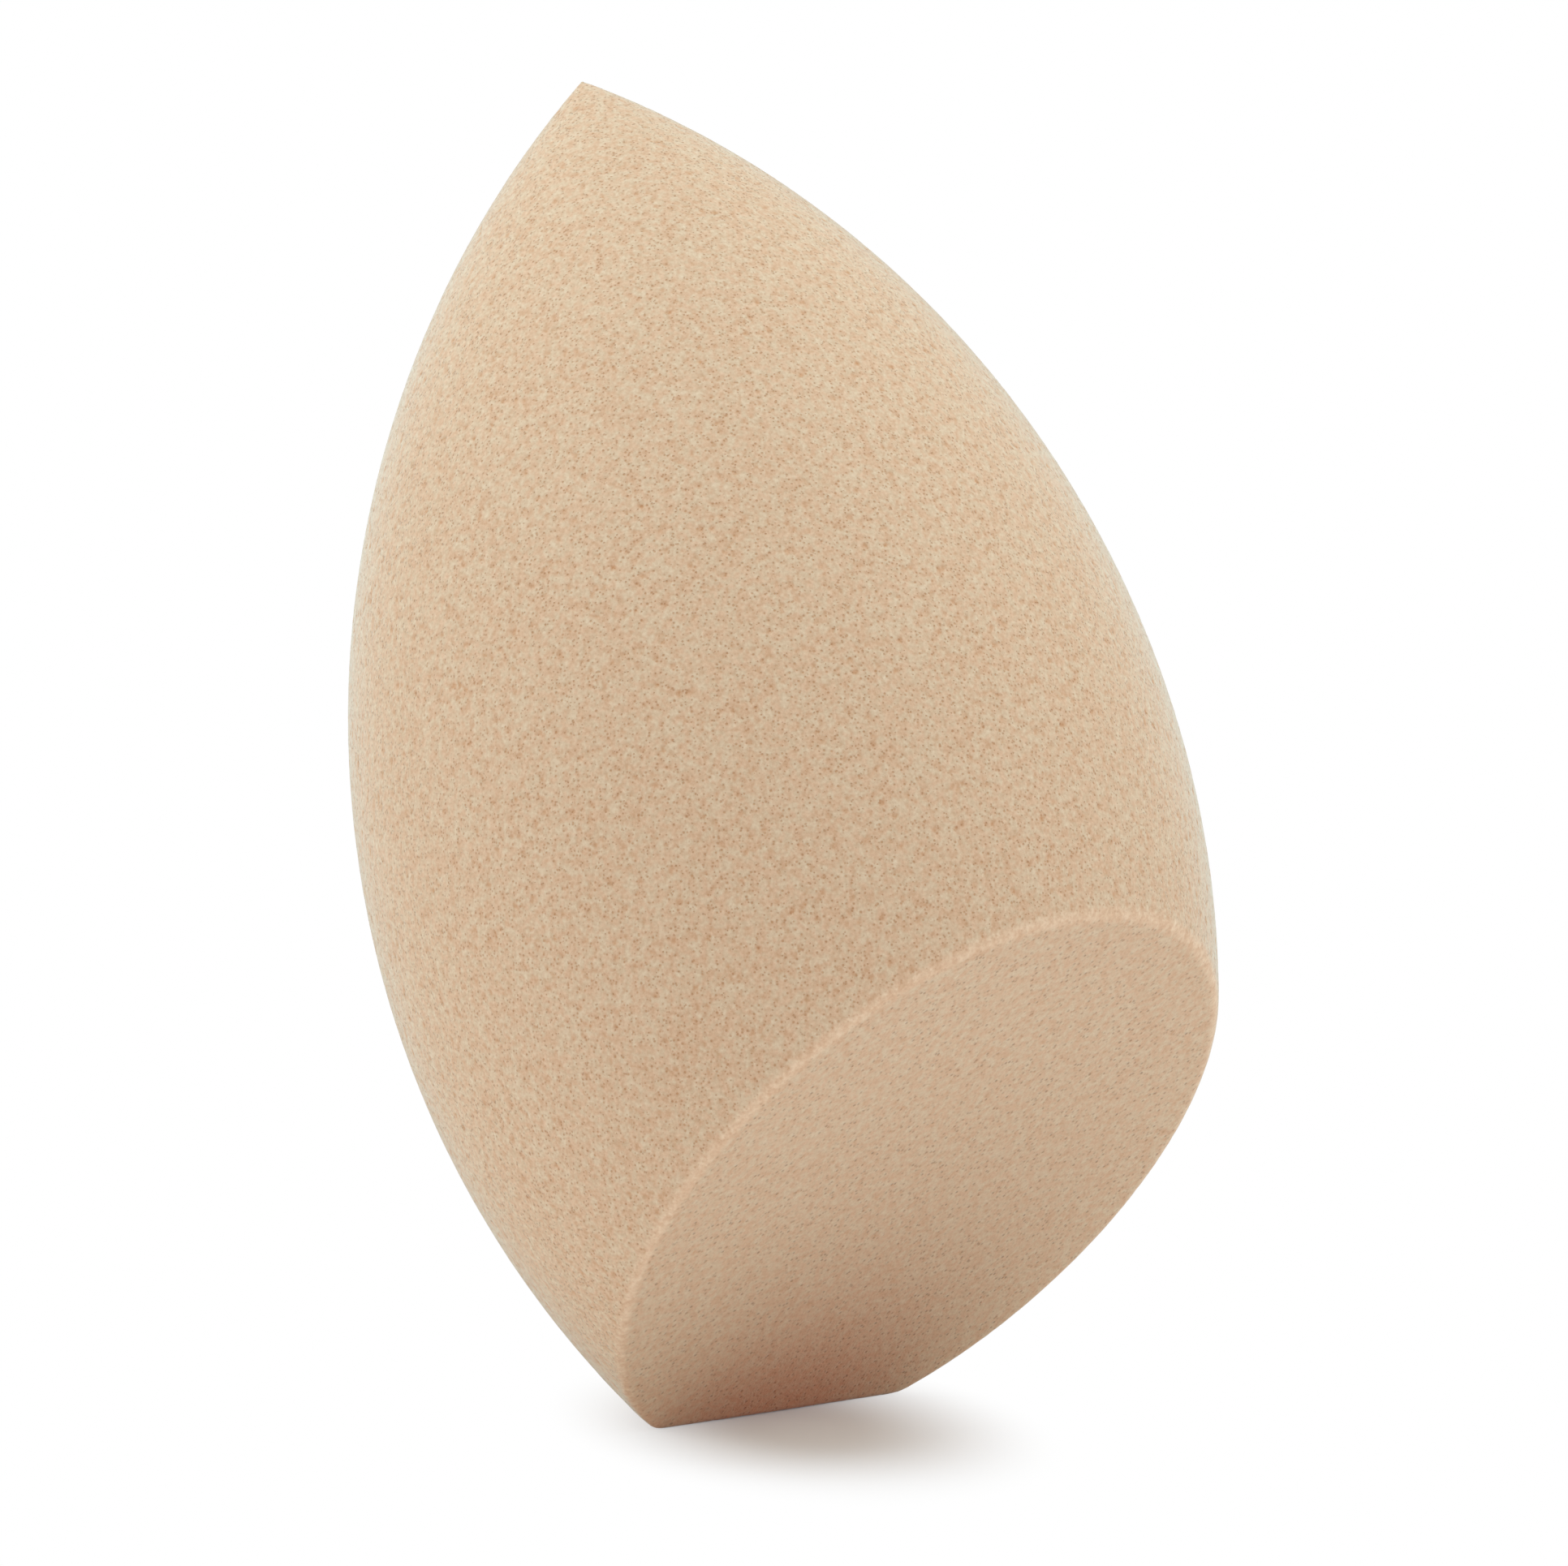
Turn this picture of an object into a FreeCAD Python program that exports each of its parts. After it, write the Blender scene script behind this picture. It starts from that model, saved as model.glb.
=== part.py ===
import FreeCAD, Part
import math
import os

# Makeup sponge: one block of open-cell foam, moulded as a pointed spindle and then sliced twice.
# XZ is its mirror plane. It stands on a small foot at z = 0, its tip leans towards -X, and the
# slanted face looks towards +X and down. The origin is under the middle of its box.

# Driving dimensions, in millimetres and degrees

# The moulded spindle, along and across its own axis
BODY_DIAMETER = 40.0
TIP_LENGTH = 39.5  # widest section to the point where the sides meet
TIP_RADIUS = 0.2  # rounding of that point
LOWER_ARC_RADIUS = 46.4  # side curve below the widest section

# How the spindle leans and how it is sliced
AXIS_LEAN = 21.3  # between the spindle's axis and upright
FACE_ANGLE = 50.8  # between the slanted face and the surface that the sponge stands on
FACE_DISTANCE = 16.7  # centre of the widest section to the slanted face
TOE_TRIM = 1.9  # height of the sharp toe that is sliced off to make the foot
FACE_RIM_RADIUS = 0.6  # rounding where the slanted face meets the moulded side
FOOT_RIM_RADIUS = 0.3  # rounding all round the foot

CENTRE = FreeCAD.Vector(0, 0, 0)
UP = FreeCAD.Vector(0, 0, 1)
ACROSS = FreeCAD.Vector(0, 1, 0)


def side_point(arc_radius, angle):
    """Point on the side curve of that radius, at an angle above the widest section as its centre sees it."""
    arc_centre = BODY_DIAMETER / 2 - arc_radius
    return FreeCAD.Vector(-arc_centre - arc_radius * math.cos(angle), 0, arc_radius * math.sin(angle))


def spindle():
    """The whole moulding upright, with the centre of its widest section at the origin and its seam at -X."""
    radius = BODY_DIAMETER / 2
    upper_radius = (TIP_LENGTH**2 + radius**2) / (2 * radius)
    tip_centre = math.sqrt((upper_radius - TIP_RADIUS) ** 2 - (upper_radius - radius) ** 2)
    tip_angle = math.atan2(tip_centre, upper_radius - radius)
    end_angle = math.acos(1 - radius / LOWER_ARC_RADIUS)

    lower_end = FreeCAD.Vector(0, 0, -LOWER_ARC_RADIUS * math.sin(end_angle))
    widest = FreeCAD.Vector(-radius, 0, 0)
    tip_start = side_point(upper_radius, tip_angle)
    tip_end = FreeCAD.Vector(0, 0, tip_centre + TIP_RADIUS)
    half_way = (tip_angle + math.pi / 2) / 2
    tip_middle = FreeCAD.Vector(-TIP_RADIUS * math.cos(half_way), 0, tip_centre + TIP_RADIUS * math.sin(half_way))

    profile = Part.Wire(
        [
            Part.Arc(lower_end, side_point(LOWER_ARC_RADIUS, -end_angle / 2), widest).toShape(),
            Part.Arc(widest, side_point(upper_radius, tip_angle / 2), tip_start).toShape(),
            Part.Arc(tip_start, tip_middle, tip_end).toShape(),
            Part.LineSegment(tip_end, lower_end).toShape(),
        ]
    )
    return Part.Face(profile).revolve(CENTRE, UP, 360)


def slice_off(solid, point, outward):
    """Take away what lies beyond the plane through the point, on its outward side."""
    reach = 2 * solid.BoundBox.DiagonalLength
    return solid.cut(Part.makeCylinder(reach, reach, point, outward))


def rim_of(solid, outward):
    """Edges round the sliced flat face that looks that way."""
    flats = [face for face in solid.Faces if isinstance(face.Surface, Part.Plane)]
    return max(flats, key=lambda face: face.normalAt(0, 0).dot(outward)).Edges


def sponge():
    """The spindle tilted, sliced by the slanted face and the foot, softened, and set on z = 0."""
    foam = spindle()
    foam.rotate(CENTRE, ACROSS, -AXIS_LEAN)

    slant = math.radians(FACE_ANGLE)
    face_normal = FreeCAD.Vector(math.sin(slant), 0, -math.cos(slant))
    foam = slice_off(foam, face_normal * FACE_DISTANCE, face_normal)
    foot_height = foam.optimalBoundingBox().ZMin + TOE_TRIM
    foam = foam.makeFillet(FACE_RIM_RADIUS, rim_of(foam, face_normal))

    foam = slice_off(foam, UP * foot_height, -UP)
    foam = foam.makeFillet(FOOT_RIM_RADIUS, rim_of(foam, -UP))

    box = foam.optimalBoundingBox()
    foam.translate(FreeCAD.Vector(-box.Center.x, -box.Center.y, -box.ZMin))
    return foam.Solids[0]


os.makedirs("parts", exist_ok=True)
sponge().exportStep("parts/foam_body.step")
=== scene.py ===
import math

import bpy
from bpy.props import FloatProperty, FloatVectorProperty, PointerProperty
from mathutils import Matrix, Vector


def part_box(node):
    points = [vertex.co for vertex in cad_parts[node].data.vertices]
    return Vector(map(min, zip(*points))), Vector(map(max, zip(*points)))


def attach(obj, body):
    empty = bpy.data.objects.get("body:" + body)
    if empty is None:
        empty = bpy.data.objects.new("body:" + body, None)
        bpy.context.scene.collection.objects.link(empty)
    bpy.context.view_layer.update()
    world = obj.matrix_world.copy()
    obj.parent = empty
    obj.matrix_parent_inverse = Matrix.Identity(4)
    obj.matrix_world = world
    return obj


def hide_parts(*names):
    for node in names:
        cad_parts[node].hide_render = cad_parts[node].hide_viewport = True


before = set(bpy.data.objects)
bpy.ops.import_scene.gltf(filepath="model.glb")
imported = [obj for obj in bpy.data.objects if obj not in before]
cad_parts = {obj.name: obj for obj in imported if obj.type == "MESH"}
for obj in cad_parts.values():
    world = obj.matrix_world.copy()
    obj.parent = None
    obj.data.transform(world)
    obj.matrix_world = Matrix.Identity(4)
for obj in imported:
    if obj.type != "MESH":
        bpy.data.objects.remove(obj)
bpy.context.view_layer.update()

bl_info = {
    "name": "Makeup Sponge",
    "version": (1, 0, 0),
    "blender": (4, 5, 0),
    "location": "3D View > Sidebar > Sponge",
    "description": "Builds a pointed foam makeup sponge with a slanted face, and a white stage for it",
    "category": "Object",
}

MM = 0.001
NODE = "foam_body"
BODY = "root"
FOAM_LOW, FOAM_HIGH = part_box(NODE)


class FoamForm(bpy.types.PropertyGroup):
    """Sizes of the moulded spindle and of its two slices, as the solid has them."""

    body_diameter: FloatProperty(
        name="Body Diameter",
        description="Across the widest section of the moulded spindle",
        default=40 * MM,
        unit="LENGTH",
    )
    tip_length: FloatProperty(
        name="Tip Length",
        description="From the widest section to the point where the sides meet",
        default=39.5 * MM,
        unit="LENGTH",
    )
    tip_radius: FloatProperty(
        name="Tip Radius",
        description="Rounding of the solid's point, which sets how high the spindle stands in its box",
        default=0.2 * MM,
        unit="LENGTH",
    )
    lower_arc: FloatProperty(
        name="Lower Arc Radius",
        description="Side curve below the widest section",
        default=46.4 * MM,
        unit="LENGTH",
    )
    lean: FloatProperty(
        name="Axis Lean",
        description="Between the spindle's axis and upright",
        default=math.radians(21.3),
        subtype="ANGLE",
    )
    face_angle: FloatProperty(
        name="Face Angle",
        description="Between the slanted face and the surface that the sponge stands on",
        default=math.radians(50.8),
        subtype="ANGLE",
    )
    face_distance: FloatProperty(
        name="Face Distance",
        description="From the centre of the widest section to the slanted face",
        default=16.7 * MM,
        unit="LENGTH",
    )
    rim_softness: FloatProperty(
        name="Rim Softness",
        description="How far the slanted face and the moulded side blend into each other",
        default=0.6 * MM,
        unit="LENGTH",
    )
    foot_softness: FloatProperty(
        name="Foot Softness",
        description="How far the foot blends into what is above it",
        default=0.3 * MM,
        unit="LENGTH",
    )


class FoamGrain(bpy.types.PropertyGroup):
    """Open cells that the surface cuts through."""

    mesh_size: FloatProperty(
        name="Mesh Size",
        description="Width of the mesh's faces",
        default=0.17 * MM,
        unit="LENGTH",
    )
    pit_spacing: FloatProperty(
        name="Pit Spacing",
        description="Between the larger cells, which are modelled as pits",
        default=0.45 * MM,
        unit="LENGTH",
    )
    pit_depth: FloatProperty(
        name="Pit Depth",
        description="Depth of the deepest pits",
        default=0.045 * MM,
        unit="LENGTH",
    )
    ripple_height: FloatProperty(
        name="Ripple Height",
        description="Height of the unevenness between the pits",
        default=0.03 * MM,
        unit="LENGTH",
    )
    pore_spacing: FloatProperty(
        name="Pore Spacing",
        description="Between the small cells, which are in the finish",
        default=0.2 * MM,
        unit="LENGTH",
    )
    pore_depth: FloatProperty(
        name="Pore Depth",
        description="Depth of the small cells",
        default=0.02 * MM,
        unit="LENGTH",
    )
    sliced_spacing: FloatProperty(
        name="Sliced Spacing",
        description="Between the cells that the blade cut open on the slanted face",
        default=0.26 * MM,
        unit="LENGTH",
    )


class FoamFinish(bpy.types.PropertyGroup):
    """Colours of the foam, with painted shade inside its cells and a painted highlight on its rim."""

    pink_colour: FloatVectorProperty(
        name="Pink Foam",
        description="Foam where its colour leans to pink",
        default=(0.693, 0.538, 0.377),
        size=3,
        subtype="COLOR",
    )
    straw_colour: FloatVectorProperty(
        name="Straw Foam",
        description="Foam where its colour leans to straw yellow",
        default=(0.657, 0.556, 0.398),
        size=3,
        subtype="COLOR",
    )
    # The pore, sliced-cell and speck colours are painted shade: darker, warmer colour inside the cells,
    # where light falls less and bounces within
    pore_shade_colour: FloatVectorProperty(
        name="Pores",
        description="Inside the small cells",
        default=(0.47, 0.265, 0.125),
        size=3,
        subtype="COLOR",
    )
    sliced_shade_colour: FloatVectorProperty(
        name="Sliced Cells",
        description="Inside the cells that the blade cut open",
        default=(0.41, 0.29, 0.19),
        size=3,
        subtype="COLOR",
    )
    pit_shade_colour: FloatVectorProperty(
        name="Specks",
        description="Inside the few largest cells",
        default=(0.52, 0.265, 0.11),
        size=3,
        subtype="COLOR",
    )
    # The rim's colour is a painted highlight: a lighter line where light catches the rounded edge of the
    # slanted face
    rim_highlight_colour: FloatVectorProperty(
        name="Rim",
        description="Worn edge of the slanted face",
        default=(0.88, 0.71, 0.52),
        size=3,
        subtype="COLOR",
    )
    sheen_colour: FloatVectorProperty(
        name="Sheen",
        description="Fine fuzz of broken cell walls at grazing angles",
        default=(0.60, 0.86, 0.90),
        size=3,
        subtype="COLOR",
    )


class Stage(bpy.types.PropertyGroup):
    """Floor, light and camera."""

    floor_colour: FloatVectorProperty(
        name="Floor",
        description="Plain pale paper, slightly warm, as light meets it",
        default=(0.87, 0.82, 0.81),
        size=3,
        subtype="COLOR",
    )
    shadow_colour: FloatVectorProperty(
        name="Shadow",
        description="The floor's paper as it shows in the sponge's shadow",
        default=(0.765, 0.82, 0.85),
        size=3,
        subtype="COLOR",
    )
    # Painted shade: a dark warm patch of floor under the slanted face that only light meets, which darkens
    # and warms the face's bottom
    contact_shade_colour: FloatVectorProperty(
        name="Contact",
        description="What the floor under the slanted face throws back at it",
        default=(0.60, 0.13, 0.0),
        size=3,
        subtype="COLOR",
    )
    room_light: FloatProperty(
        name="Room Light",
        description="Even light from all round",
        default=0.59,
    )
    room_colour: FloatVectorProperty(
        name="Room Light Colour",
        description="Slightly warm, against the lamps",
        default=(1.15, 1.0, 0.91),
        size=3,
        subtype="COLOR",
    )
    lamp_colour: FloatVectorProperty(
        name="Lamp Colour",
        description="Slightly cool, against the room's light",
        default=(0.94, 1.0, 1.05),
        size=3,
        subtype="COLOR",
    )
    top_power: FloatProperty(
        name="Top Lamp",
        description="Power of the lamp overhead",
        default=2.85,
        unit="POWER",
    )
    left_power: FloatProperty(
        name="Left Lamp",
        description="Power of the lamp on the camera's left",
        default=1.16,
        unit="POWER",
    )
    right_power: FloatProperty(
        name="Right Lamp",
        description="Power of the lamp on the camera's right",
        default=0.74,
        unit="POWER",
    )
    back_left_power: FloatProperty(
        name="Back Left Lamp",
        description="Power of the lamp behind the sponge on the left",
        default=0.42,
        unit="POWER",
    )
    back_right_power: FloatProperty(
        name="Back Right Lamp",
        description="Power of the lamp behind the sponge on the right",
        default=0.42,
        unit="POWER",
    )
    camera_distance: FloatProperty(
        name="Camera Distance",
        description="From the camera to the middle of the sponge",
        default=600 * MM,
        unit="LENGTH",
    )
    camera_azimuth: FloatProperty(
        name="Camera Azimuth",
        description="Turn of the camera round the sponge, from the -Y side towards +X",
        default=math.radians(47.2),
        subtype="ANGLE",
    )
    camera_elevation: FloatProperty(
        name="Camera Elevation",
        description="Height of the camera above the horizon",
        default=math.radians(6.6),
        subtype="ANGLE",
    )


class SpongeSettings(bpy.types.PropertyGroup):
    """Everything that the sponge's operators read."""

    form: PointerProperty(type=FoamForm)
    grain: PointerProperty(type=FoamGrain)
    finish: PointerProperty(type=FoamFinish)
    stage: PointerProperty(type=Stage)


TRIPLES = ("VECTOR", "RGBA")
NOISE_REACH = 0.5  # how far noise goes each way from its middle


class Wire:
    """An output of a node, on which Python's operators add Math and Vector Math nodes."""

    def __init__(self, nodes, socket):
        self.nodes = nodes
        self.socket = socket

    def also(self, output):
        """Another output of the same node."""
        return Wire(self.nodes, find_socket(self.socket.node.outputs, output))

    def __add__(self, other):
        return self.nodes.maths("ADD", self, other)

    def __sub__(self, other):
        return self.nodes.maths("SUBTRACT", self, other)

    def __mul__(self, other):
        return self.nodes.maths("MULTIPLY", self, other)

    def __truediv__(self, other):
        return self.nodes.maths("DIVIDE", self, other)

    def __gt__(self, other):
        return self.nodes.maths("GREATER_THAN", self, other)

    def __abs__(self):
        return self.nodes.maths("ABSOLUTE", self)

    def __neg__(self):
        return self * -1.0

    def __rsub__(self, other):
        return self.nodes.maths("SUBTRACT", other, self)

    def __rtruediv__(self, other):
        return self.nodes.maths("DIVIDE", other, self)

    __radd__ = __add__
    __rmul__ = __mul__


class Nodes:
    """Adds nodes to one tree."""

    def __init__(self, tree):
        self.tree = tree
        tree.nodes.clear()

    def add(self, kind, settings, sockets, output=0):
        """One node: its settings first, then its sockets' values or links. Gives its output as a wire."""
        node = self.tree.nodes.new(kind)
        for name, value in settings.items():
            setattr(node, name, value)
        for key, value in sockets.items():
            socket = find_socket(node.inputs, key)
            if isinstance(value, Wire):
                self.tree.links.new(value.socket, socket)
            else:
                socket.default_value = value
        return Wire(self, find_socket(node.outputs, output)) if node.outputs else None

    def maths(self, operation, *values):
        """One Math node, or a Vector Math node where a value is a vector."""
        settings = {"operation": operation}
        if not any(is_triple(value) for value in values):
            return self.add("ShaderNodeMath", settings, dict(enumerate(values)))
        triples = [v if isinstance(v, (Wire, Vector)) else Vector.Fill(3, v) for v in values]
        output = "Value" if operation == "LENGTH" else "Vector"
        return self.add("ShaderNodeVectorMath", settings, dict(enumerate(triples)), output)

    def parts(self, vector):
        """The three numbers of a vector or a colour."""
        first = self.add("ShaderNodeSeparateXYZ", {}, {0: vector})
        return first, first.also("Y"), first.also("Z")

    def step(self, value, low, high, at_low=0.0, at_high=1.0):
        """A smooth step of a value between two levels."""
        return self.add(
            "ShaderNodeMapRange",
            {"interpolation_type": "SMOOTHSTEP"},
            {"Value": value, "From Min": low, "From Max": high, "To Min": at_low, "To Max": at_high},
        )

    def noise(self, place, spacing, detail=2.0):
        """Cloudy noise about 0."""
        sockets = {"Vector": place, "Scale": 1 / spacing, "Detail": detail}
        return self.add("ShaderNodeTexNoise", {}, sockets) - NOISE_REACH

    def cells(self, place, spacing):
        """Scattered cells: how far the nearest one's middle is, in spacings, and its three own numbers."""
        distance = self.add("ShaderNodeTexVoronoi", {}, {"Vector": place, "Scale": 1 / spacing})
        return distance, self.parts(distance.also("Color"))

    def blend(self, share, first, second):
        """A mix of two colours."""
        sockets = {"Factor": share, "A": first, "B": second}
        return self.add("ShaderNodeMix", {"data_type": "RGBA"}, sockets, "Result")


def find_socket(sockets, key):
    """The socket at a place, or the one in use that has a name."""
    if isinstance(key, int):
        return sockets[key]
    return next(s for s in sockets if s.enabled and s.name == key)


def is_triple(value):
    """True for a vector, and for a wire that carries a vector or a colour."""
    return isinstance(value, Vector) or isinstance(value, Wire) and value.socket.type in TRIPLES


def colour(value):
    """A colour with its alpha."""
    return (*value, 1.0)


# The foam block

PLACE_INPUTS = ("Centre", "Low", "High")
FORM_INPUTS = {
    "Body Diameter": "body_diameter",
    "Tip Length": "tip_length",
    "Lower Arc Radius": "lower_arc",
    "Axis Lean": "lean",
    "Face Angle": "face_angle",
    "Face Distance": "face_distance",
    "Rim Softness": "rim_softness",
    "Foot Softness": "foot_softness",
}
GRAIN_INPUTS = {
    "Mesh Size": "mesh_size",
    "Pit Spacing": "pit_spacing",
    "Pit Depth": "pit_depth",
    "Ripple Height": "ripple_height",
}
SKIN = 1.0  # density at the foam's surface, in mesh sizes
SPARE_MESH = 3  # mesh sizes left free round the foam
SETTLE_ROUNDS = 3  # times that the mesh is made even and laid on the rule again
EVEN_STEPS = 2
LAY_STEPS = 2
CUT_BLEND = 0.25 * MM  # how soon the moulded side's grain gives way to the slanted face's
RIM_WIDTH = 0.5 * MM  # how far the rim, which gets a painted highlight and fewer cells, reaches from the edge
RIM_CORE = 0.1 * MM  # how far the rim is full
MAP_MARGIN = 0.004
MAP_ROWS_APART = 3  # sizes of the foam between the rows of the flat map before it is packed

# The pits, and the shares of the cells that a region lacks
PIT_BOTTOM, PIT_EDGE = 0.1, 0.5  # in spacings from the middle of a pit
PITS_LOST_ON_FACE = 0.5
CELLS_LOST_ON_RIM = 0.7
RIPPLE_SPACING = 2  # in pit spacings


def section_centre(form):
    """Centre of the spindle's widest section in the frame, from the box of the solid."""
    radius = form.body_diameter / 2
    upper_arc = (form.tip_length**2 + radius**2) / (2 * radius)
    tip_centre = math.sqrt((upper_arc - form.tip_radius) ** 2 - (upper_arc - radius) ** 2)
    reach = upper_arc - (upper_arc - radius) * math.cos(form.lean)
    rise = tip_centre * math.cos(form.lean) + form.tip_radius
    return Vector((FOAM_LOW.x + reach, 0, FOAM_HIGH.z - rise))


def foam_rule(nodes, size, place):
    """How far a place is outside the moulded side, beyond the slanted face, and outside the whole foam."""
    x, y, z = nodes.parts(place - size["Centre"])
    lean_sine = nodes.maths("SINE", size["Axis Lean"])
    lean_cosine = nodes.maths("COSINE", size["Axis Lean"])
    along = z * lean_cosine - x * lean_sine
    across = x * lean_cosine + z * lean_sine
    off_axis = nodes.maths("SQRT", across * across + y * y)

    radius = size["Body Diameter"] / 2
    tip = size["Tip Length"]
    upper_arc = (tip * tip + radius * radius) / size["Body Diameter"]
    lower_arc = size["Lower Arc Radius"]
    arc = lower_arc + (upper_arc - lower_arc) * (along > 0.0)
    bow = off_axis + arc - radius
    side = nodes.maths("SQRT", bow * bow + along * along) - arc

    face_sine = nodes.maths("SINE", size["Face Angle"])
    face_cosine = nodes.maths("COSINE", size["Face Angle"])
    face = x * face_sine - z * face_cosine - size["Face Distance"]

    depth_below = nodes.parts(size["Low"] - place)[2]
    sliced = nodes.maths("SMOOTH_MAX", side, face, size["Rim Softness"])
    outside = nodes.maths("SMOOTH_MAX", sliced, depth_below, size["Foot Softness"])
    return side, face, outside


def foam_surface(nodes, size, outside, place, normal):
    """Mesh of even quads on the surface of the rule."""
    mesh_size = size["Mesh Size"]
    density = nodes.maths("MAXIMUM", nodes.maths("MINIMUM", SKIN - outside / mesh_size, 2 * SKIN), 0.0)
    low = size["Low"] - mesh_size * SPARE_MESH
    high = size["High"] + mesh_size * SPARE_MESH
    counts = nodes.parts((high - low) / mesh_size)
    box = {"Min": low, "Max": high}
    box |= {"Resolution " + axis: count for axis, count in zip("XYZ", counts)}
    grid = {"resolution_mode": "GRID"}
    foam = nodes.add("GeometryNodeVolumeCube", {}, {"Density": density, **box})
    foam = nodes.add("GeometryNodeVolumeToMesh", grid, {"Volume": foam, "Threshold": SKIN})
    for _ in range(SETTLE_ROUNDS):
        blur = {"Value": place, "Iterations": EVEN_STEPS}
        even = nodes.add("GeometryNodeBlurAttribute", {"data_type": "FLOAT_VECTOR"}, blur)
        foam = nodes.add("GeometryNodeSetPosition", {}, {"Geometry": foam, "Position": even})
        for _ in range(LAY_STEPS):
            foam = nodes.add("GeometryNodeSetPosition", {}, {"Geometry": foam, "Offset": normal * -outside})
    return foam


def keep(nodes, geometry, name, value, kind="FLOAT", domain="POINT"):
    """The geometry with a named attribute."""
    settings = {"data_type": kind, "domain": domain}
    sockets = {"Geometry": geometry, "Name": name, "Value": value}
    return nodes.add("GeometryNodeStoreNamedAttribute", settings, sockets)


def kept(nodes, name):
    """A named attribute that was kept before."""
    return nodes.add("GeometryNodeInputNamedAttribute", {"data_type": "FLOAT"}, {"Name": name})


def bake_map(nodes, place, normal):
    """A flat map of the smooth form: each face goes to the side of a box that it looks at most."""
    by_face = {"data_type": "FLOAT_VECTOR", "domain": "FACE"}
    x, y, z = nodes.parts(nodes.add("GeometryNodeFieldOnDomain", by_face, {"Value": normal}))
    across_x = (abs(x) > abs(y)) * (abs(x) > abs(z))
    across_y = (1 - across_x) * (abs(y) > abs(z))
    across_z = 1 - across_x - across_y
    apart = nodes.maths("SIGN", x * across_x + y * across_y + z * across_z)
    px, py, pz = nodes.parts(place)
    reach = (FOAM_HIGH - FOAM_LOW).length
    u = py * across_x + px * (1 - across_x) + apart * reach
    row = across_y + 2 * across_z
    v = py * across_z + pz * (1 - across_z) + reach * MAP_ROWS_APART * row
    flat = nodes.add("ShaderNodeCombineXYZ", {}, {"X": u, "Y": v})
    return nodes.add("GeometryNodeUVPackIslands", {}, {"UV": flat, "Margin": MAP_MARGIN, "Rotate": True})


def foam_tree(material):
    """Geometry Nodes for the foam: a rule for its form, meshed, laid on the rule and pitted."""
    tree = bpy.data.node_groups.new("Foam Block", "GeometryNodeTree")
    nodes = Nodes(tree)
    tree.interface.new_socket("Geometry", in_out="OUTPUT", socket_type="NodeSocketGeometry")
    for name in PLACE_INPUTS:
        tree.interface.new_socket(name, in_out="INPUT", socket_type="NodeSocketVector")
    for name in [*FORM_INPUTS, *GRAIN_INPUTS]:
        tree.interface.new_socket(name, in_out="INPUT", socket_type="NodeSocketFloat")
    entry = tree.nodes.new("NodeGroupInput")
    size = {s.name: Wire(nodes, s) for s in entry.outputs if s.name}

    place = nodes.add("GeometryNodeInputPosition", {}, {})
    normal = nodes.add("GeometryNodeInputNormal", {}, {})
    side, face, outside = foam_rule(nodes, size, place)
    foam = foam_surface(nodes, size, outside, place, normal)
    foam = keep(nodes, foam, "cut", nodes.step(face - side, -CUT_BLEND, CUT_BLEND))
    edge = nodes.maths("MINIMUM", face, side)
    foam = keep(nodes, foam, "rim", nodes.step(edge, -RIM_WIDTH, -RIM_CORE))
    foam = keep(nodes, foam, "OFBake", bake_map(nodes, place, normal), "FLOAT2", "CORNER")

    left_on_face = 1 - PITS_LOST_ON_FACE * kept(nodes, "cut")
    left_on_rim = 1 - CELLS_LOST_ON_RIM * kept(nodes, "rim")
    distance, own = nodes.cells(place, size["Pit Spacing"])
    pit = nodes.step(distance, PIT_BOTTOM, PIT_EDGE, 1.0, 0.0) * own[0] * left_on_face * left_on_rim
    foam = keep(nodes, foam, "pit", pit)
    foam = keep(nodes, foam, "rare", own[1])
    # The ripple only goes inwards, so that the foam stays inside the solid's box
    ripple = nodes.noise(place, RIPPLE_SPACING * size["Pit Spacing"]) - NOISE_REACH
    rise = ripple * size["Ripple Height"] - kept(nodes, "pit") * size["Pit Depth"]
    foam = nodes.add("GeometryNodeSetPosition", {}, {"Geometry": foam, "Offset": normal * rise})
    foam = nodes.add("GeometryNodeSetShadeSmooth", {}, {"Geometry": foam, "Shade Smooth": True})
    foam = nodes.add("GeometryNodeRealizeInstances", {}, {"Geometry": foam})
    foam = nodes.add("GeometryNodeSetMaterial", {}, {"Geometry": foam, "Material": material})
    nodes.add("NodeGroupOutput", {}, {"Geometry": foam})
    return tree


# The foam's finish

PORE_WIDTH = 0.22  # of the narrowest pores, in spacings
PORE_WIDTH_SPAN = 0.22  # how much wider the widest are
PORE_BOTTOM = 0.35  # share of a pore's width that is fully dark
PORES_LOST_ON_FACE = 0.8
SLICED_BOTTOM, SLICED_EDGE = 0.12, 0.45  # in spacings from the middle of a cell
SPECK_FROM, SPECK_FULL = 0.86, 0.92  # own numbers of the pits that are specks
FINE_SPACING = 0.8  # in pore spacings
FINE_DETAIL = 3.0
MOTTLE_SPACING = 2.1  # in pore spacings
MOTTLE_SPAN = 0.16  # noise at which one of the two tints is alone

# How much of each colour shows where its mask is full; the pore, sliced-cell and pit colours are painted
# shade in the cells, the rim's colour a painted highlight
RIM_HIGHLIGHT_SHARE, RIM_HIGHLIGHT_MOTTLE = 0.44, 0.7
PORE_SHADE_SHARE = 0.6
SLICED_SHADE_SHARE = 0.8
PIT_SHADE_SHARE = 0.5
SPECK_SHADE_SHARE = 0.3
FINE_STRENGTH, FINE_LOST_ON_FACE = 0.7, 0.3
MOTTLE_STRENGTH = 0.4
FINE_TINT = Vector((0.65, 0.95, 1.25))  # hollows keep more of their red

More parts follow.
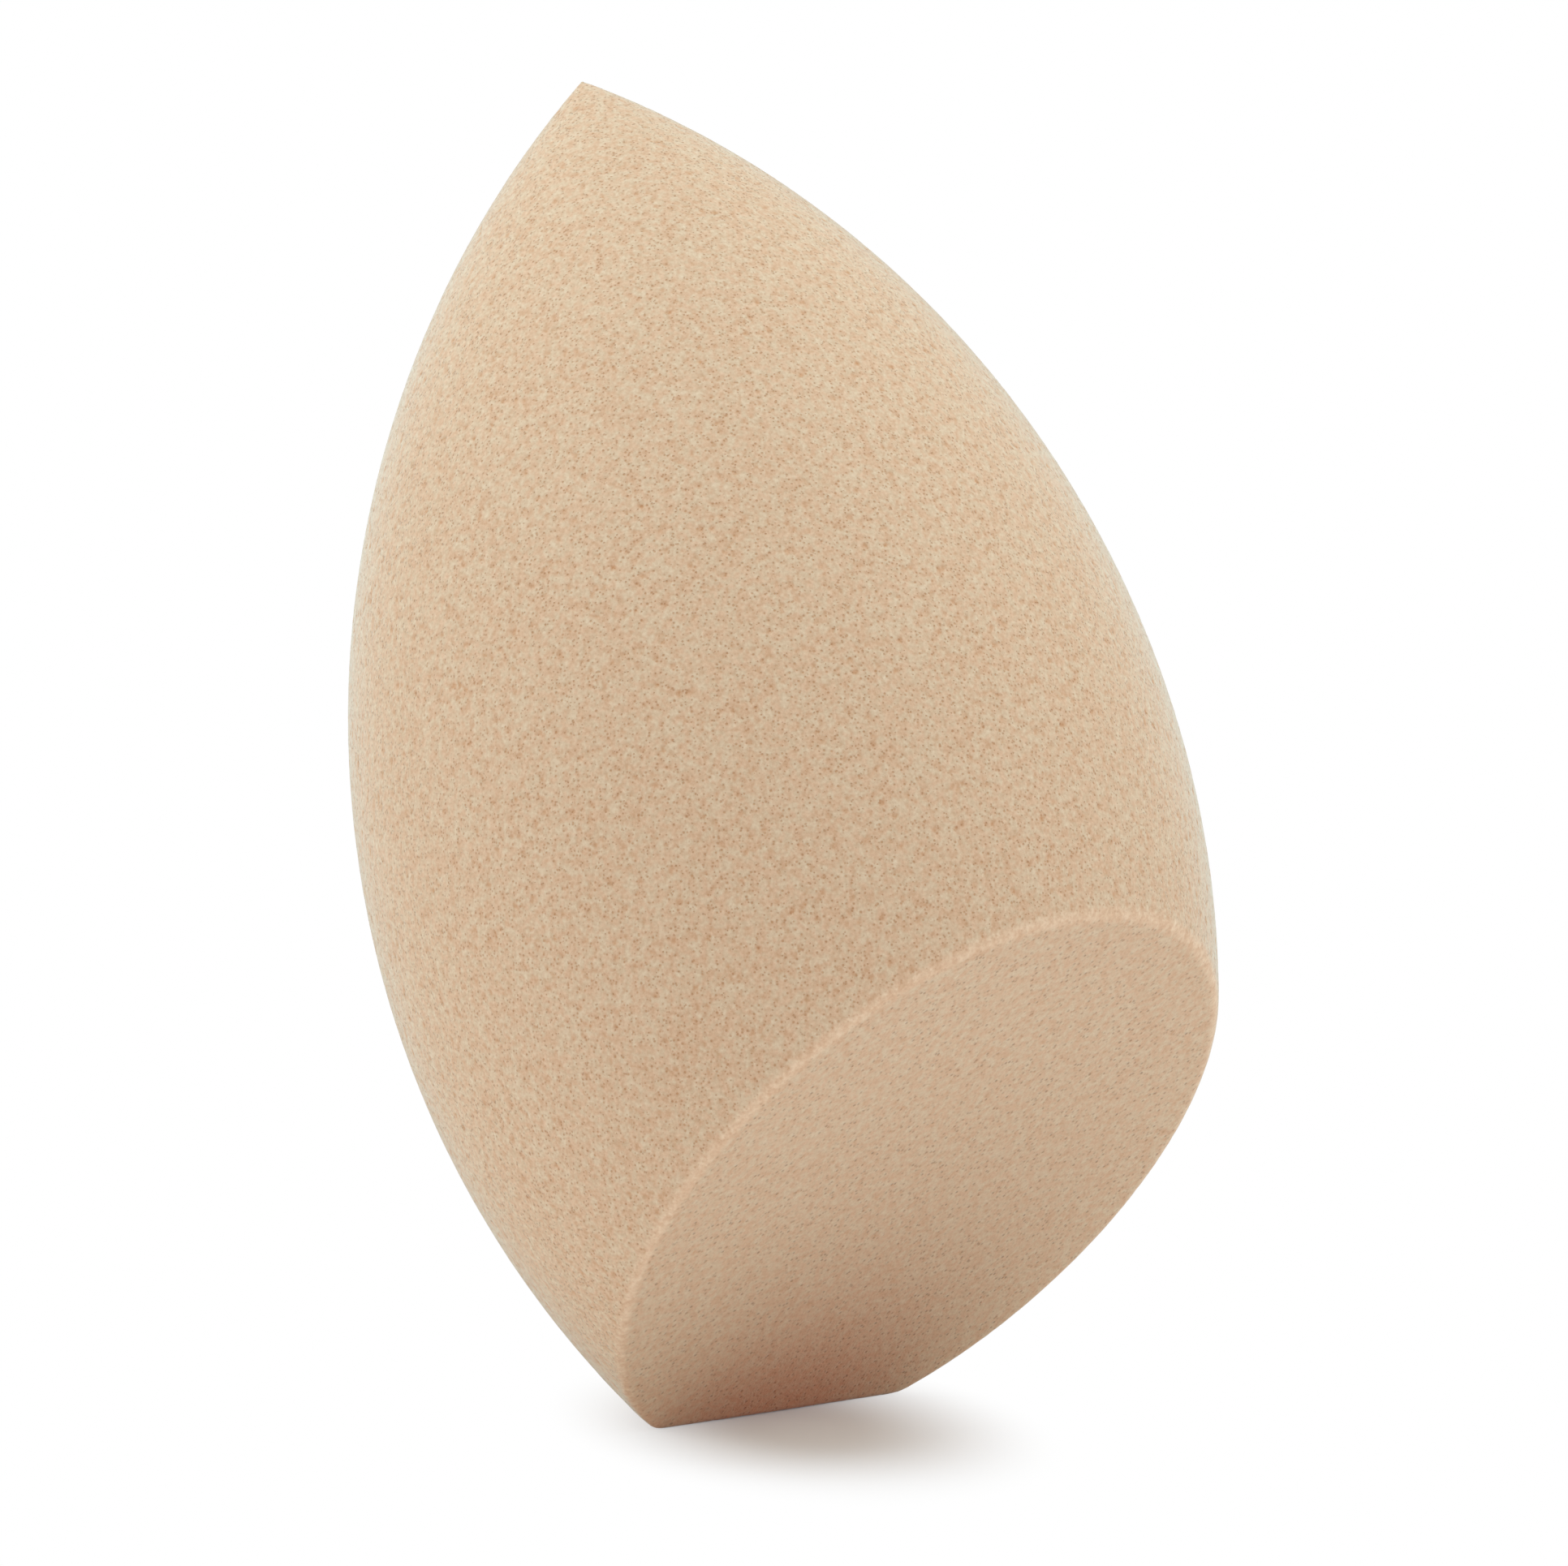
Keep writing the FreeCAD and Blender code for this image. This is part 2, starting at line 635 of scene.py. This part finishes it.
FOAM_ROUGHNESS, PORE_ROUGHNESS = 0.9, 0.1
FOAM_SPECULAR = 0.1
SHEEN_WEIGHT, SHEEN_ROUGHNESS = 0.7, 0.3


def surface_mask(nodes, name):
    """A mask that the foam's mesh carries."""
    return nodes.add("ShaderNodeAttribute", {"attribute_name": name}, {}, "Fac")


def foam_material(finish, grain):
    """Open-cell foam: two mottled tints, sunk cells darkened by painted shade, and a rim lightened by a
    painted highlight.
    """
    material = bpy.data.materials.new("Foam")
    material.use_nodes = True
    nodes = Nodes(material.node_tree)
    place = nodes.add("ShaderNodeTexCoord", {}, {}, "Object")
    cut, rim, pit, rare = (surface_mask(nodes, name) for name in ("cut", "rim", "pit", "rare"))
    left_on_rim = 1 - CELLS_LOST_ON_RIM * rim

    distance, own = nodes.cells(place, grain.pore_spacing)
    width = PORE_WIDTH + PORE_WIDTH_SPAN * own[0]
    pore = nodes.step(distance, PORE_BOTTOM * width, width, 1.0, 0.0)
    pore = pore * (1 - PORES_LOST_ON_FACE * cut) * left_on_rim
    distance, own = nodes.cells(place, grain.sliced_spacing)
    sliced = nodes.step(distance, SLICED_BOTTOM, SLICED_EDGE, 1.0, 0.0) * own[0] * cut * left_on_rim
    speck = pit * nodes.step(rare, SPECK_FROM, SPECK_FULL)
    fine = nodes.noise(place, FINE_SPACING * grain.pore_spacing, FINE_DETAIL)
    mottle = nodes.noise(place, MOTTLE_SPACING * grain.pore_spacing)

    tint = nodes.step(mottle, -MOTTLE_SPAN, MOTTLE_SPAN)
    shade = nodes.blend(tint, colour(finish.pink_colour), colour(finish.straw_colour))
    # Painted highlight on the rim, broken up by the mottle
    shade = nodes.blend(rim * (RIM_HIGHLIGHT_SHARE + RIM_HIGHLIGHT_MOTTLE * mottle), shade, colour(finish.rim_highlight_colour))
    # Painted shade inside the pores, the sliced cells, and the pits and specks
    shade = nodes.blend(PORE_SHADE_SHARE * pore, shade, colour(finish.pore_shade_colour))
    shade = nodes.blend(SLICED_SHADE_SHARE * sliced, shade, colour(finish.sliced_shade_colour))
    shade = nodes.blend(PIT_SHADE_SHARE * pit + SPECK_SHADE_SHARE * speck, shade, colour(finish.pit_shade_colour))
    # Uneven tone from two noises: partly grain, and partly painted shade, as the colour darkens and reddens
    # where the fine noise sinks the relief
    uneven = (FINE_STRENGTH - FINE_LOST_ON_FACE * cut) * fine + MOTTLE_STRENGTH * mottle
    shade = shade * (1 + uneven * FINE_TINT)
    height = fine - pore - sliced - pit
    relief = {"Strength": 1.0, "Distance": grain.pore_depth, "Height": height}
    sockets = {
        "Base Color": shade,
        "Roughness": FOAM_ROUGHNESS + PORE_ROUGHNESS * pore,
        "Normal": nodes.add("ShaderNodeBump", {}, relief),
        "Specular IOR Level": FOAM_SPECULAR,
        "Sheen Weight": SHEEN_WEIGHT,
        "Sheen Roughness": SHEEN_ROUGHNESS,
        "Sheen Tint": colour(finish.sheen_colour),
    }
    foam = nodes.add("ShaderNodeBsdfPrincipled", {}, sockets)
    nodes.add("ShaderNodeOutputMaterial", {}, {"Surface": foam})
    return material


def plain_mesh(holder, tree, values):
    """The tree's result on an empty mesh object, as a plain mesh."""
    modifier = holder.modifiers.new("Foam Block", "NODES")
    modifier.node_group = tree
    for item in tree.interface.items_tree:
        if item.in_out == "INPUT":
            modifier[item.identifier] = values[item.name]
    made = holder.evaluated_get(bpy.context.evaluated_depsgraph_get())
    mesh = bpy.data.meshes.new_from_object(made)
    holder.modifiers.remove(modifier)
    return mesh


class SPONGE_OT_foam_block(bpy.types.Operator):
    """Makes the foam block with its pits and its finish"""

    bl_idname = "sponge.foam_block"
    bl_label = "Foam Block"

    def execute(self, context):
        settings = context.scene.makeup_sponge
        tree = foam_tree(foam_material(settings.finish, settings.grain))
        values = {"Centre": section_centre(settings.form), "Low": FOAM_LOW, "High": FOAM_HIGH}
        values |= {name: getattr(settings.form, prop) for name, prop in FORM_INPUTS.items()}
        values |= {name: getattr(settings.grain, prop) for name, prop in GRAIN_INPUTS.items()}
        foam = bpy.data.objects.new("foam_block", bpy.data.meshes.new("foam_block"))
        context.collection.objects.link(foam)
        foam.data = plain_mesh(foam, tree, values)
        if not foam.data.polygons:
            raise RuntimeError("the foam block has no faces")
        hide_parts(NODE)
        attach(foam, BODY)
        return {"FINISHED"}


# The stage

SENSOR = 36.0  # camera sensor's width in millimetres
IMAGE_WIDTH = 1932
PIXELS_PER_MM = 25.735  # at the middle of the sponge
MIDDLE = Vector((0.322 * MM, 0, 30 * MM))
AIM_RIGHT = 0.173 * MM
AIM_UP = 0.475 * MM
FLOOR_HALF = 2.0  # half of the floor's width in metres
WHITE = (1, 1, 1)
PATCHES = {
    # patches of the floor: middle and reach in millimetres, and turn
    "shadow in front": ((4.4, -2.4, 0), (23.5, 11.8, 1), math.radians(-30.4)),
    "shadow behind": ((-7, 5.5, 0), (8, 13, 1), math.radians(47.2)),
    "contact": ((2, -0.5, 0), (11.5, 12, 1), 0),
}
PATCH_EDGE = 0.16  # share of a patch's reach where it starts to fade
SHADE_STRENGTH = 0.9  # share of the shadow that is kept in the middle of its patch
LAMP_TARGET = Vector((0, 0, 30 * MM))
LAMP_DISTANCE = 0.7
LAMPS = {
    # turn from the camera to its right and height, in degrees, and width
    "top": (0, 90, 0.6),
    "left": (-105, 12, 0.3),
    "right": (105, 12, 0.3),
    "back_left": (-150, 6, 0.2),
    "back_right": (150, 6, 0.2),
}


def direction(azimuth, elevation):
    """From the middle towards a camera or a lamp, where azimuth 0 is the -Y side and grows towards +X."""
    flat = math.cos(elevation)
    return Vector((math.sin(azimuth) * flat, -math.cos(azimuth) * flat, math.sin(elevation)))


def place_camera(stage):
    """Camera at the photograph's viewing angle."""
    back = direction(stage.camera_azimuth, stage.camera_elevation)
    right = direction(stage.camera_azimuth + math.pi / 2, 0)
    up = back.cross(right)
    target = MIDDLE + right * AIM_RIGHT + up * AIM_UP
    data = bpy.data.cameras.new("Camera")
    data.sensor_width = SENSOR
    data.lens = SENSOR * PIXELS_PER_MM * (stage.camera_distance / MM) / IMAGE_WIDTH
    camera = bpy.data.objects.new("Camera", data)
    turn = Matrix((right, up, back)).transposed().to_4x4()
    camera.matrix_world = Matrix.Translation(target + back * stage.camera_distance) @ turn
    bpy.context.collection.objects.link(camera)
    bpy.context.scene.camera = camera


def place_lamps(stage):
    """Soft lamps round the sponge, and the room's even light with a white backdrop."""
    for name, (turn, height, width) in LAMPS.items():
        data = bpy.data.lights.new(name + "_lamp", "AREA")
        data.energy = getattr(stage, name + "_power")
        data.color = stage.lamp_colour
        data.size = width
        lamp = bpy.data.objects.new(name + "_lamp", data)
        towards = direction(stage.camera_azimuth + math.radians(turn), math.radians(height))
        lamp.location = LAMP_TARGET + towards * LAMP_DISTANCE
        lamp.rotation_mode = "QUATERNION"
        lamp.rotation_quaternion = towards.to_track_quat("Z", "Y")
        lamp.visible_camera = False
        bpy.context.collection.objects.link(lamp)
    world = bpy.data.worlds.new("Room")
    world.use_nodes = True
    nodes = Nodes(world.node_tree)
    seen = seen_directly(nodes)
    strength = stage.room_light + (1 - stage.room_light) * seen
    light = nodes.blend(seen, colour(stage.room_colour), colour(WHITE))
    sky = nodes.add("ShaderNodeBackground", {}, {"Color": light, "Strength": strength})
    nodes.add("ShaderNodeOutputWorld", {}, {"Surface": sky})
    bpy.context.scene.world = world


def seen_directly(nodes):
    """1 for what the camera sees, also in gloss and through clear things, and 0 for light."""
    path = nodes.add("ShaderNodeLightPath", {}, {}, "Is Camera Ray")
    return nodes.maths("MINIMUM", path + path.also("Is Glossy Ray") + path.also("Is Transmission Ray"), 1.0)


def floor_material(stage):
    """Pale paper that keeps the shadow near the sponge and is white further off; for light only, a dark
    warm patch under the slanted face shades the face's bottom.
    """
    material = bpy.data.materials.new("Floor")
    material.use_nodes = True
    nodes = Nodes(material.node_tree)
    seen = seen_directly(nodes)
    place = nodes.add("ShaderNodeTexCoord", {}, {}, "Object")
    patch = {}
    for name, (middle, reach, turn) in PATCHES.items():
        spot = {"Location": Vector(middle) * MM, "Rotation": (0, 0, turn), "Scale": Vector(reach) * MM}
        spot = nodes.add("ShaderNodeMapping", {"vector_type": "TEXTURE"}, {"Vector": place, **spot})
        patch[name] = nodes.step(nodes.maths("LENGTH", spot), PATCH_EDGE, 1.0, 1.0, 0.0)
    shadow = SHADE_STRENGTH * nodes.maths("MAXIMUM", patch["shadow in front"], patch["shadow behind"])
    # The contact patch is painted shade: light meets a dark warm floor there, which the camera never sees
    tint = nodes.blend(patch["contact"], colour(stage.floor_colour), colour(stage.contact_shade_colour))
    tint = nodes.blend(seen, tint, colour(stage.shadow_colour))
    paper = nodes.add("ShaderNodeBsdfDiffuse", {}, {"Color": tint})
    white = nodes.add("ShaderNodeEmission", {}, {"Color": colour(WHITE), "Strength": 1.0})
    floor = nodes.add("ShaderNodeMixShader", {}, {0: (1 - shadow) * seen, 1: paper, 2: white})
    nodes.add("ShaderNodeOutputMaterial", {}, {"Surface": floor})
    return material


class SPONGE_OT_stage(bpy.types.Operator):
    """Makes the floor, the lights and the camera"""

    bl_idname = "sponge.stage"
    bl_label = "Stage"

    def execute(self, context):
        stage = context.scene.makeup_sponge.stage
        mesh = bpy.data.meshes.new("floor")
        corners = [(x * FLOOR_HALF, y * FLOOR_HALF, 0) for x, y in ((-1, -1), (1, -1), (1, 1), (-1, 1))]
        mesh.from_pydata(corners, [], [(0, 1, 2, 3)])
        mesh.materials.append(floor_material(stage))
        floor = bpy.data.objects.new("floor", mesh)
        context.collection.objects.link(floor)
        place_lamps(stage)
        place_camera(stage)
        context.scene.view_settings.view_transform = "Standard"
        return {"FINISHED"}


class VIEW3D_PT_makeup_sponge(bpy.types.Panel):
    """Lists the sponge's settings and operators"""

    bl_label = "Makeup Sponge"
    bl_space_type = "VIEW_3D"
    bl_region_type = "UI"
    bl_category = "Sponge"

    def draw(self, context):
        settings = context.scene.makeup_sponge
        for group in (settings.form, settings.grain, settings.finish, settings.stage):
            box = self.layout.box()
            for name in group.__annotations__:
                box.prop(group, name)
        self.layout.operator(SPONGE_OT_foam_block.bl_idname)
        self.layout.operator(SPONGE_OT_stage.bl_idname)


CLASSES = (
    FoamForm,
    FoamGrain,
    FoamFinish,
    Stage,
    SpongeSettings,
    SPONGE_OT_foam_block,
    SPONGE_OT_stage,
    VIEW3D_PT_makeup_sponge,
)


def register():
    for kind in CLASSES:
        bpy.utils.register_class(kind)
    bpy.types.Scene.makeup_sponge = PointerProperty(type=SpongeSettings)


def unregister():
    del bpy.types.Scene.makeup_sponge
    for kind in reversed(CLASSES):
        bpy.utils.unregister_class(kind)


def main():
    register()
    bpy.ops.sponge.foam_block()
    bpy.ops.sponge.stage()


if __name__ == "__main__":
    main()
